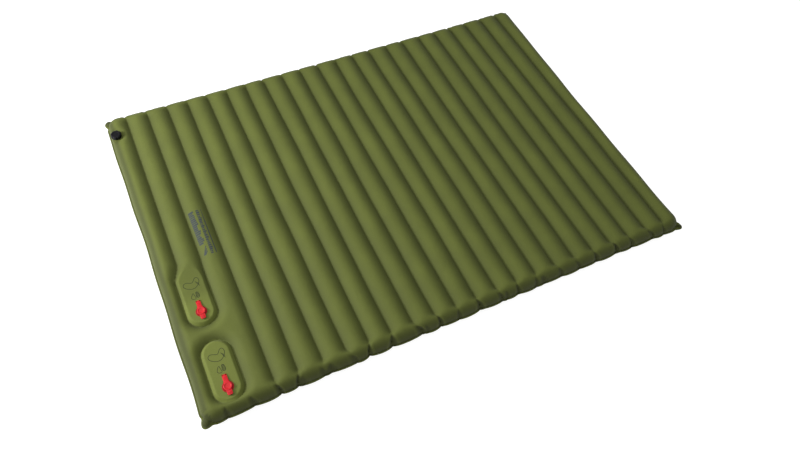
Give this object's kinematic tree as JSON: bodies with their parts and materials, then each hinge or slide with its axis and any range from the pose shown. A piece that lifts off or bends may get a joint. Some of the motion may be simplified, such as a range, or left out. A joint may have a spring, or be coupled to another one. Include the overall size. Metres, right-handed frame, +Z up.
{
  "type": "inflatable sleeping pad",
  "caption": "Two-person inflatable camping pad of cross tubes with built-in foam foot pumps, strapped air plugs and a corner deflate valve.",
  "frame": {"origin": "centre of the pad's footprint, on the ground under it", "axes": "+X along the pad's length, from the foot-pump end to the far end and across the air tubes; +Y along the air tubes, towards the edge with the deflate valve; +Z up"},
  "size_m": [1.95, 1.4, 0.096],
  "materials": {
    "top_fabric": "matte olive green laminated ripstop",
    "base_fabric": "matte olive green laminated cloth",
    "web_fabric": "matte olive green laminated cloth",
    "foam": "open-cell foam",
    "valve_red": "satin",
    "plug_red": "satin",
    "silicone": "matte",
    "valve_black": "satin"
  },
  "bodies": {
    "pad": {"top_skin": "top_fabric", "bottom_skin": "base_fabric", "baffle_01": "web_fabric", "baffle_02": "web_fabric", "baffle_03": "web_fabric", "baffle_04": "web_fabric", "baffle_05": "web_fabric", "baffle_06": "web_fabric", "baffle_07": "web_fabric", "baffle_08": "web_fabric", "baffle_09": "web_fabric", "baffle_10": "web_fabric", "baffle_11": "web_fabric", "baffle_12": "web_fabric", "baffle_13": "web_fabric", "baffle_14": "web_fabric", "baffle_15": "web_fabric", "baffle_16": "web_fabric", "baffle_17": "web_fabric", "baffle_18": "web_fabric", "baffle_19": "web_fabric", "baffle_20": "web_fabric", "baffle_21": "web_fabric", "baffle_22": "web_fabric", "pump_wall_upper": "web_fabric", "pump_foam_upper": "foam", "outlet_valve_body_upper": "valve_black", "pump_wall_lower": "web_fabric", "pump_foam_lower": "foam", "outlet_valve_body_lower": "valve_black", "deflate_valve_base": "valve_black"},
    "press_upper": {"pump_panel_upper": "top_fabric", "intake_valve_body_upper": "valve_red"},
    "plug_upper": {"intake_cap_upper": "plug_red"},
    "inlet_upper": {"intake_flap_upper": "silicone"},
    "outlet_upper": {"outlet_flap_upper": "silicone"},
    "press_lower": {"pump_panel_lower": "top_fabric", "intake_valve_body_lower": "valve_red"},
    "plug_lower": {"intake_cap_lower": "plug_red"},
    "inlet_lower": {"intake_flap_lower": "silicone"},
    "outlet_lower": {"outlet_flap_lower": "silicone"},
    "valve_stem": {"deflate_valve_stem": "valve_black", "deflate_valve_seal": "silicone"},
    "valve_cap": {"deflate_valve_cap": "valve_black"}
  },
  "joints": [
    {"name": "pump_press_upper", "type": "slide", "parent": "pad", "child": "press_upper", "axis": [0, 0, -1], "range_m": [0, 0.042], "stiffness_N_per_m": 2500, "springref_m": -0.001, "deforming": ["pump_foam_upper"]},
    {"name": "plug_hinge_upper", "type": "hinge", "parent": "press_upper", "child": "plug_upper", "pos_m": [-0.858, -0.2725, 0.0865], "axis": [-1, 0, 0], "range_deg": [0, 160]},
    {"name": "inlet_flap_upper", "type": "hinge", "parent": "press_upper", "child": "inlet_upper", "pos_m": [-0.858, -0.306, 0.0719], "axis": [1, 0, 0], "range_deg": [0, 40], "stiffness_Nm_per_rad": 0.0005, "springref_deg": -11.46},
    {"name": "outlet_flap_upper", "type": "hinge", "parent": "pad", "child": "outlet_upper", "pos_m": [-0.8011, -0.2525, 0.054], "axis": [0, -1, 0], "range_deg": [0, 40], "stiffness_Nm_per_rad": 0.0005, "springref_deg": -11.46},
    {"name": "pump_press_lower", "type": "slide", "parent": "pad", "child": "press_lower", "axis": [0, 0, -1], "range_m": [0, 0.042], "stiffness_N_per_m": 2500, "springref_m": -0.001, "deforming": ["pump_foam_lower"]},
    {"name": "plug_hinge_lower", "type": "hinge", "parent": "press_lower", "child": "plug_lower", "pos_m": [-0.858, -0.5654, 0.0865], "axis": [-1, 0, 0], "range_deg": [0, 160]},
    {"name": "inlet_flap_lower", "type": "hinge", "parent": "press_lower", "child": "inlet_lower", "pos_m": [-0.858, -0.5989, 0.0719], "axis": [1, 0, 0], "range_deg": [0, 40], "stiffness_Nm_per_rad": 0.0005, "springref_deg": -11.46},
    {"name": "outlet_flap_lower", "type": "hinge", "parent": "pad", "child": "outlet_lower", "pos_m": [-0.8011, -0.5454, 0.054], "axis": [0, -1, 0], "range_deg": [0, 40], "stiffness_Nm_per_rad": 0.0005, "springref_deg": -11.46},
    {"name": "deflate_stem_rise", "type": "slide", "parent": "pad", "child": "valve_stem", "axis": [0, 0, 1], "range_m": [0, 0.0041]},
    {"name": "deflate_cap_turn", "type": "hinge", "parent": "valve_stem", "child": "valve_cap", "pos_m": [-0.941, 0.577, 0.079], "axis": [0, 0, 1], "range_deg": [0, 540]}
  ],
  "couplings": [
    {"joint": "deflate_stem_rise", "follows": "deflate_cap_turn", "m_per_rad": 0.00042441}
  ]
}
